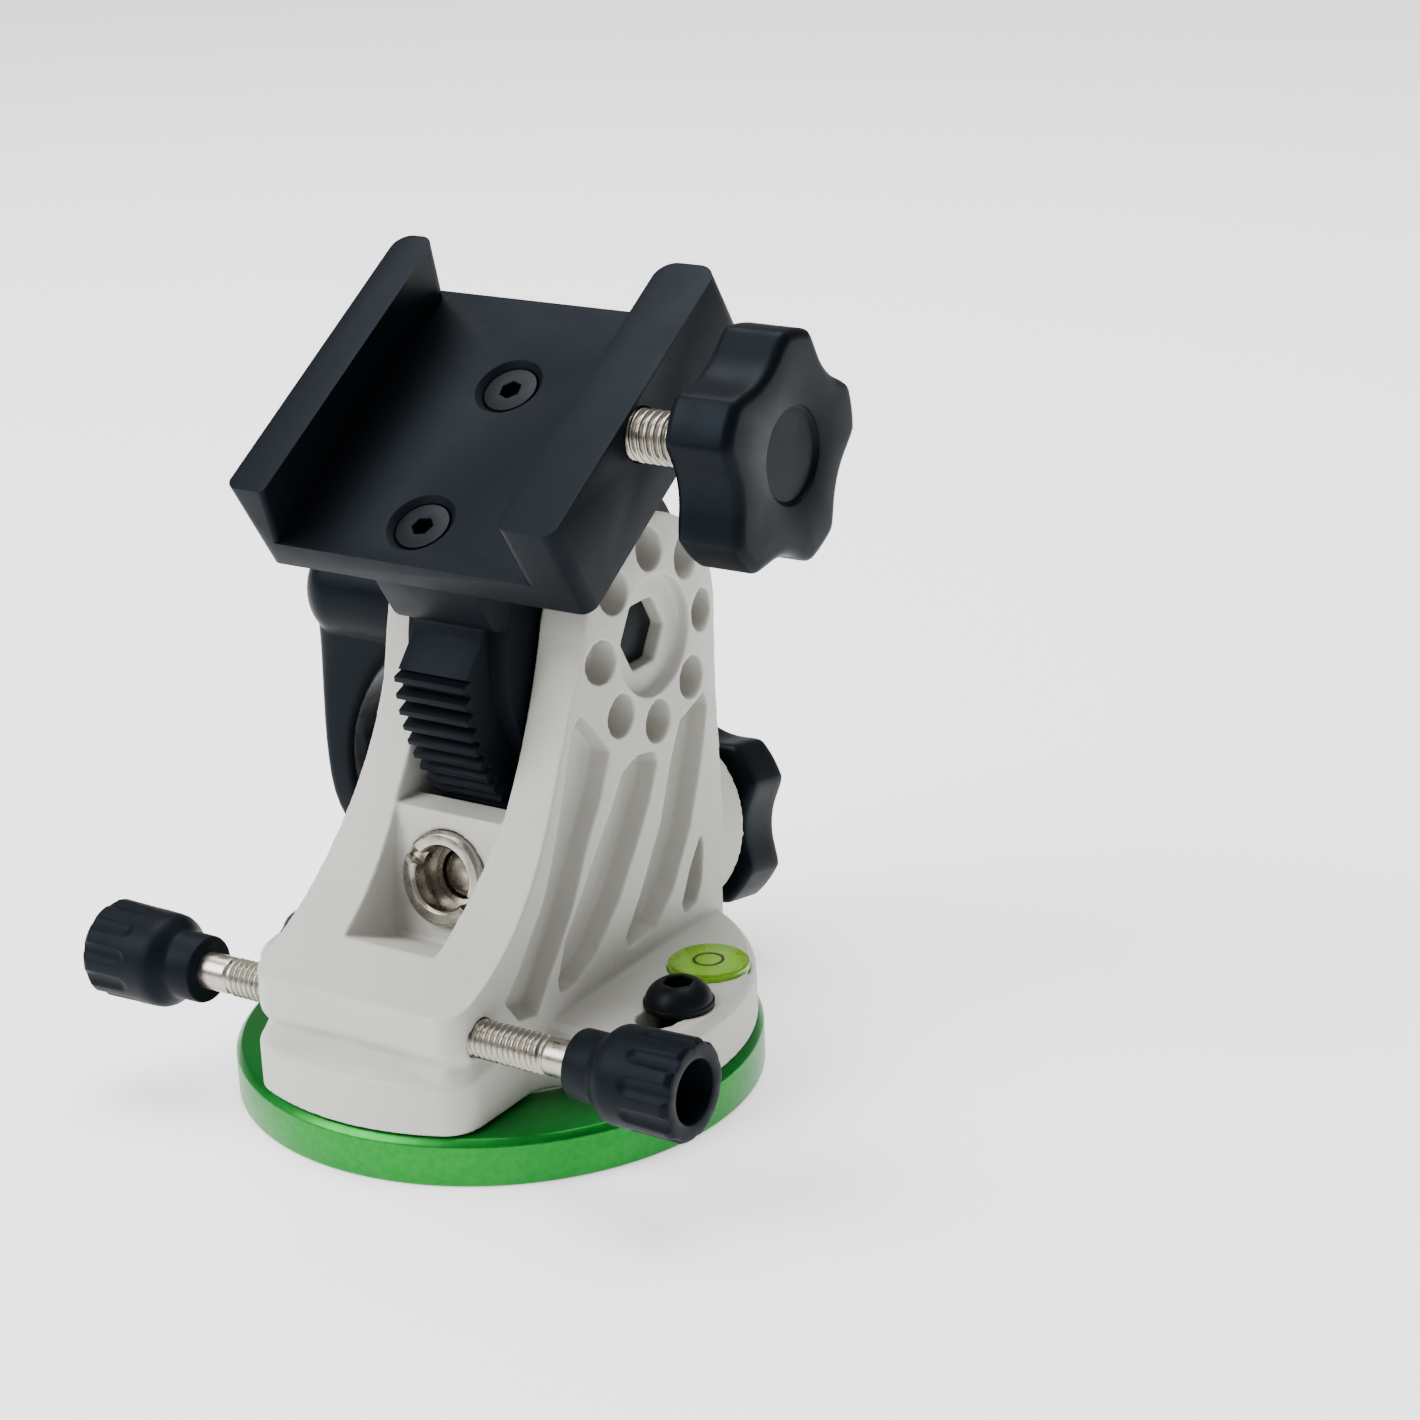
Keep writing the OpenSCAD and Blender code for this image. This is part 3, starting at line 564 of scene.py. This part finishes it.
def azimuth_knob(name, node, side):
    """Collar, cone and fluted body, bored from the far face."""
    start = PEG_R + side * PEG_X + PAD_T + SCREW_LEN
    length, cone_end, body_r, bore_r = 19.6, 8.4, 7.42, 4.78
    flutes, cutter, reach, first = 10, 2.0, 8.95, 10.6
    step = 2 * math.pi / flutes
    profile = [(4.8, 0), (5.12, 0.12), (5.27, 0.45), (5.3, 4.2), (5.4, 4.7), (5.7, 5.1), (6.5, 6.0),
               (7.0, 6.6), (7.3, 7.3), (body_r, cone_end)]
    body_z = [cone_end + (length - 1.0 - cone_end) * i / 34 for i in range(1, 35)]
    profile += [(body_r + 0.24 * (z - cone_end) / 10, z) for z in body_z]
    profile += [(7.55, length - 0.7), (7.1, length - 0.12), (6.8, length)]

    def ring(r, z):
        deep = cutter
        if z < first + cutter:
            deep = math.sqrt(max(cutter ** 2 - (first + cutter - z) ** 2, 0.0))

        def at(a):
            phi = (a + step / 2) % step - step / 2
            room = deep ** 2 - (reach * math.sin(phi)) ** 2
            if room <= 0:
                return r
            return smin(r, reach * math.cos(phi) - math.sqrt(room), 0.25)
        return at
    rings = [(0, 0.0)] + [(ring(r, z) if z > first - 0.5 else r, z) for r, z in profile]
    bottom = length - 8.4
    rings += [(5.1, length), (4.85, length - 0.15), (bore_r, length - 0.45),
              (bore_r, bottom + 0.4), (4.5, bottom), (0, bottom)]
    obj = revolve(name, rings, x_frame(side * start, AZ_Y, AZ_Z, side), 240)
    smooth(obj, 40)
    return place(obj, node)


azimuth_knob("azimuth_grip_right", "azimuth_knob_right", 1)
azimuth_knob("azimuth_grip_left", "azimuth_knob_left", -1)


def button_head(name, node, turn):
    """Button head screw with a hexagon socket."""
    lo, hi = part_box(node)
    centre = (lo + hi) / 2
    foot, seat = lo.z / MM, hi.z / MM - 3.3
    dome = [(5.2, 0), (5.24, 0.25), (5.2, 0.55), (5.0, 1.15), (4.6, 1.85), (4.1, 2.4), (3.5, 2.85),
            (3.0, 3.12), (2.75, 3.2), (2.6, 3.2)]
    socket = [(hexagon(4.25), 3.15), (hexagon(4.0), 2.95), (hexagon(4.0), 1.4), (0, 0.9)]
    rings = [(0, foot), (2.6, foot), (2.95, foot + 0.35), (2.95, seat)]
    rings += [(r, seat + z) for r, z in dome + socket]
    upright = (Matrix.Translation((centre.x, centre.y, 0)) @ Matrix.Rotation(turn, 4, "Z")
               @ Matrix.Scale(MM, 4))
    obj = revolve(name, rings, upright, 96)
    smooth(obj, 32)
    return place(obj, node)


button_head("lock_button_right", "lock_screw_right", 0.3)
button_head("lock_button_left", "lock_screw_left", 0.9)


# ---------------------------------------------------------------- worm

def worm_thread():
    """Worm shaft with its helical thread, in mesh with the gear."""
    gear_r, teeth = 31.1, 72
    pitch = gear_r * 2 / teeth * math.pi
    tip, root, shaft, collar = 7.36, 5.45, 3.97, 6.78
    z0, z1, count = 15.0, 37.0, 150
    rings = [(0, 5.45), (1.6, 5.5), (2.6, 5.75), (3.4, 6.2), (3.85, 6.75), (shaft, 7.3),
             (shaft, 10.1), (6.75, 10.1), (collar, 13.6), (6.4, 13.95), (root, 14.1)]

    def radius(z):
        def at(a):
            # a right-hand ridge; gear gaps face it at a = -90 degrees when z is at the mesh
            turns = (z - WORM_MESH) / pitch - (a + math.pi / 2) / (2 * math.pi)
            h = flank(turns, 0.30, 0.42)
            fade = min(1.0, (z - z0) / 1.2, (z1 - z) / 1.2)
            return root + (tip - root) * h * max(fade, 0.0)
        return at
    heights = [z0 + (z1 - z0) * i / count for i in range(count + 1)]
    rings += [(radius(z), z) for z in heights]
    rings += [(root, 37.9), (6.4, 38.1), (collar, 38.4), (collar, 43.9), (shaft, 43.9),
              (shaft, 70.0), (3.6, 70.4), (0, 70.4)]
    obj = revolve("worm_spiral", rings, WORM, 64)
    smooth(obj, 40)
    return place(obj, "worm_shaft")


worm_thread()


# ---------------------------------------------------------------- saddle

def prism(outline, v0, v1):
    """bmesh of an outline given as (x, w), between two positions along the groove."""
    bm = bmesh.new()
    near = [bm.verts.new((x, v0, w)) for x, w in outline]
    far = [bm.verts.new((x, v1, w)) for x, w in outline]
    bm.faces.new(near)
    bm.faces.new(list(reversed(far)))
    for i in range(len(outline)):
        j = (i + 1) % len(outline)
        bm.faces.new((near[j], near[i], far[i], far[j]))
    bmesh.ops.recalc_face_normals(bm, faces=bm.faces)
    return bm


def cut(obj, cutter):
    """Subtracts the cutter and removes it."""
    m = obj.modifiers.new("cut", "BOOLEAN")
    m.operation = "DIFFERENCE"
    m.object = cutter
    m.solver = "EXACT"
    apply_modifiers(obj)
    bpy.data.objects.remove(cutter)


def corner_cutter(x, v, sx, sv, r, heights, shift):
    """What is cut off an upright corner at (x, v) to round it, in the saddle frame."""
    shape = [(x - sx * r + sx * r * math.cos(a), v - sv * r + sv * r * math.sin(a))
             for a in [math.pi / 2 * i / 8 for i in range(9)]]
    shape += [(x - sx * r, v + sv), (x + sx, v + sv), (x + sx, v - sv * r)]
    bm = bmesh.new()
    rows = []
    for w, move in zip(heights, (0, shift)):
        rows.append([bm.verts.new(Vector((px + move, pv, w)) * MM) for px, pv in shape])
    bm.faces.new(rows[0])
    bm.faces.new(list(reversed(rows[1])))
    for i in range(len(shape)):
        j = (i + 1) % len(shape)
        bm.faces.new((rows[0][j], rows[0][i], rows[1][i], rows[1][j]))
    return from_bmesh("corner", bm)


def make_saddle():
    """Milled saddle with rounded corners, two screw wells and the clamp screw's bore."""
    lip = JAW_LEFT + 11.8 * UNDERCUT
    outline = [(SADDLE_LEFT, SADDLE_UNDER), (SADDLE_RIGHT, SADDLE_UNDER),
               (SADDLE_RIGHT, SADDLE_TOP), (JAW_RIGHT, SADDLE_TOP), (JAW_RIGHT, SADDLE_FLOOR),
               (JAW_LEFT, SADDLE_FLOOR), (lip, SADDLE_TOP), (SADDLE_LEFT, SADDLE_TOP)]
    bm = prism(outline, SADDLE_FRONT, SADDLE_REAR)
    bmesh.ops.transform(bm, matrix=Matrix.Scale(MM, 4), verts=bm.verts)
    obj = from_bmesh("saddle_milled", bm)

    # (x, groove position, direction of the corner, radius, heights, x shift from bottom to top)
    high, low = (SADDLE_FLOOR, 48.9), (32.1, 48.9)
    slant = (48.9 - SADDLE_FLOOR) * UNDERCUT
    corners = [(SADDLE_LEFT, SADDLE_FRONT, -1, -1, 1.8, low, 0),
               (SADDLE_LEFT, SADDLE_REAR, -1, 1, 3.0, low, 0),
               (SADDLE_RIGHT, SADDLE_FRONT, 1, -1, 2.2, low, 0),
               (SADDLE_RIGHT, SADDLE_REAR, 1, 1, 3.2, low, 0),
               (JAW_RIGHT, SADDLE_FRONT, -1, -1, 2.2, high, 0),
               (JAW_RIGHT, SADDLE_REAR, -1, 1, 3.2, high, 0),
               (JAW_LEFT, SADDLE_FRONT, 1, -1, 0.9, high, slant),
               (JAW_LEFT, SADDLE_REAR, 1, 1, 2.6, high, slant)]
    for corner in corners:
        cut(obj, corner_cutter(*corner))
    well = [(0, 30), (2.7, 30), (2.7, 33.6), (4.6, 33.6), (4.6, 36.1), (5.5, 37.0), (5.5, 39),
            (0, 39)]
    for v in SCREW_PLACES:
        at = Matrix.Translation((0, v * MM, 0)) @ Matrix.Scale(MM, 4)
        cut(obj, revolve("well", well, at, 64))
    at = (Matrix.Translation((0.0214, CLAMP_V * MM, CLAMP_W * MM))
          @ Matrix.Rotation(math.pi / 2, 4, "Y") @ Matrix.Scale(MM, 4))
    bore = [(0, -10), (4.05, -10), (4.05, 11.2), (4.6, 11.8), (4.6, 14), (0, 14)]
    cut(obj, revolve("bore", bore, at, 64))
    bevel(obj, 0.4, 3, 40)
    obj.data.transform(Matrix.Translation(ALT) @ Matrix.Rotation(TILT, 4, "X"))
    smooth(obj, 35)
    return place(obj, "saddle")


make_saddle()


def make_saddle_screws():
    """Two socket screws, each with its own turn."""
    bm = bmesh.new()
    rings = [(0, 22), (2.2, 22), (2.45, 22.3), (2.45, 33.55), (4.3, 33.65), (4.36, 33.9),
             (4.36, 36.0), (4.2, 36.25), (4.0, 36.3), (hexagon(3.25), 36.27),
             (hexagon(3.0), 36.1), (hexagon(3.0), 34.3), (0, 34.0)]
    for v, turn in zip(SCREW_PLACES, (0.2, 0.75)):
        at = SADDLE @ Matrix.Translation((0, v, 0)) @ Matrix.Rotation(turn, 4, "Z")
        one = revolve("head", rings, at, 72)
        bm.from_mesh(one.data)
        bpy.data.objects.remove(one)
    obj = from_bmesh("saddle_heads", bm)
    smooth(obj, 35)
    return place(obj, "saddle_screws")


make_saddle_screws()


# ---------------------------------------------------------------- lever

def make_lever():
    """Moulded lever: a round hub and a hollow-backed arm that hangs from it."""
    # (height, outer x, inner x, half thickness, depth of the hollow)
    rows = [(67.5, -43.4, -22.5, 6.4, 0.0), (63.5, -43.1, -22.5, 6.45, 0.0),
            (60.5, -42.9, -26.0, 6.45, 0.0), (58.0, -42.8, -28.8, 6.45, 0.2),
            (55.0, -42.8, -31.2, 6.45, 0.8), (52.0, -42.8, -33.0, 6.45, 1.6),
            (49.0, -42.8, -34.5, 6.45, 2.3), (46.0, -42.8, -35.6, 6.45, 2.8),
            (43.0, -42.75, -36.2, 6.45, 2.8), (40.0, -42.65, -36.4, 6.4, 2.4),
            (37.0, -42.5, -36.3, 6.3, 1.8), (34.0, -42.1, -36.1, 6.1, 1.0),
            (31.5, -41.5, -35.9, 5.7, 0.3), (29.0, -40.6, -35.7, 5.1, 0.0),
            (27.0, -39.5, -35.7, 4.3, 0.0), (25.6, -38.4, -35.9, 3.2, 0.0),
            (24.7, -37.4, -36.3, 1.6, 0.0)]
    count, squareness = 40, 0.36
    bm = bmesh.new()
    loops = []
    for z, outer, inner, half, hollow in rows:
        mid, wide = (outer + inner) / 2, (inner - outer) / 2
        loop = []
        for i in range(count):
            a = 2 * math.pi * i / count
            c, s = math.cos(a), math.sin(a)
            x = math.copysign(abs(c) ** squareness, c) * wide
            y = math.copysign(abs(s) ** squareness, s) * half
            if x > 0:
                x -= hollow * max(0.0, 1 - (y / (0.84 * half)) ** 4)
            loop.append(bm.verts.new((mid + x, ALT_Y + y, z)))
        loops.append(loop)
    for a, b in zip(loops, loops[1:]):
        for i in range(count):
            j = (i + 1) % count
            bm.faces.new((a[i], a[j], b[j], b[i]))
    bm.faces.new(loops[0])
    bm.faces.new(list(reversed(loops[-1])))
    bmesh.ops.recalc_face_normals(bm, faces=bm.faces)
    bmesh.ops.transform(bm, matrix=Matrix.Scale(MM, 4), verts=bm.verts)
    rings = [(0, 18.6), (8.4, 18.6), (8.8, 19.0), (8.9, 19.6), (8.95, 36.0)]
    rings += bend(8.95, 38.6, 3.0, 44.4, "in", 10) + [(0, 44.45)]
    hub = revolve("hub", rings, x_frame(0, ALT_Y, ALT_Z, -1), 96)
    bm.from_mesh(hub.data)
    bpy.data.objects.remove(hub)
    obj = remeshed("lever_moulded", bm, 0.3)
    return place(obj, "lock_lever")


make_lever()


# ---------------------------------------------------------------- pieces kept from the CAD shape

for node, width in (("altitude_arm", 0.3), ("base_plate", 0.18), ("worm_retainer", 0.18),
                    ("altitude_bolt", 0.4), ("lock_washers", 0.15), ("tripod_bush", 0.25)):
    crisp(node, width)


# ---------------------------------------------------------------- camera, light, floor

AIM_AZ, AIM_EL, AIM_ROLL = math.radians(33.13), math.radians(20.16), math.radians(-2.30)
CAMERA_AT, LENS = (0.2947, -0.3877, 0.2364), 86.07
back = Vector((math.sin(AIM_AZ) * math.cos(AIM_EL), -math.cos(AIM_AZ) * math.cos(AIM_EL),
               math.sin(AIM_EL)))
right = Vector((math.cos(AIM_AZ), math.sin(AIM_AZ), 0))
up = back.cross(right)
right, up = (right * math.cos(AIM_ROLL) + up * math.sin(AIM_ROLL),
             up * math.cos(AIM_ROLL) - right * math.sin(AIM_ROLL))
cam = bpy.data.cameras.new("camera")
cam.sensor_width = 36
cam.lens = LENS
cam.clip_start = 0.01
camera = bpy.data.objects.new("camera", cam)
bpy.context.scene.collection.objects.link(camera)
camera.matrix_world = (Matrix.Translation(CAMERA_AT)
                       @ Matrix((right, up, back)).transposed().to_4x4())
bpy.context.scene.camera = camera

bpy.ops.mesh.primitive_plane_add(size=12, location=(0, 0, 0))
floor = bpy.context.object
floor.name = "floor"
fmat, ft = clear("floor_paper")
fout = add(ft, "ShaderNodeOutputMaterial")
fsh = add(ft, "ShaderNodeBsdfPrincipled", {"Base Color": (0.92, 0.92, 0.92, 1),
                                           "Roughness": 0.9, "Emission Color": (1, 1, 1, 1),
                                           "Emission Strength": 0.9})
ft.links.new(fsh.outputs["BSDF"], fout.inputs["Surface"])
floor.data.materials.append(fmat)

world = bpy.data.worlds.new("studio")
bpy.context.scene.world = world
world.use_nodes = True
sky = world.node_tree.nodes["Background"].inputs
sky["Color"].default_value = (1, 1, 1, 1)
sky["Strength"].default_value = 0.32


def softbox(name, location, target, size, power):
    """Rectangular light aimed at the target."""
    data = bpy.data.lights.new(name, "AREA")
    data.shape = "RECTANGLE"
    data.size, data.size_y = size
    data.energy = power
    obj = bpy.data.objects.new(name, data)
    bpy.context.scene.collection.objects.link(obj)
    aim = (Vector(target) - Vector(location)).to_track_quat("-Z", "Y")
    obj.matrix_world = Matrix.Translation(location) @ aim.to_matrix().to_4x4()


softbox("key", (-0.6, -0.75, 0.85), (0, 0, 0.05), (0.8, 0.8), 21)
softbox("fill", (0.9, -0.3, 0.5), (0, 0, 0.06), (0.7, 0.9), 0.3)
softbox("top", (-0.15, 0.2, 1.1), (0, 0, 0.05), (0.9, 0.9), 20)
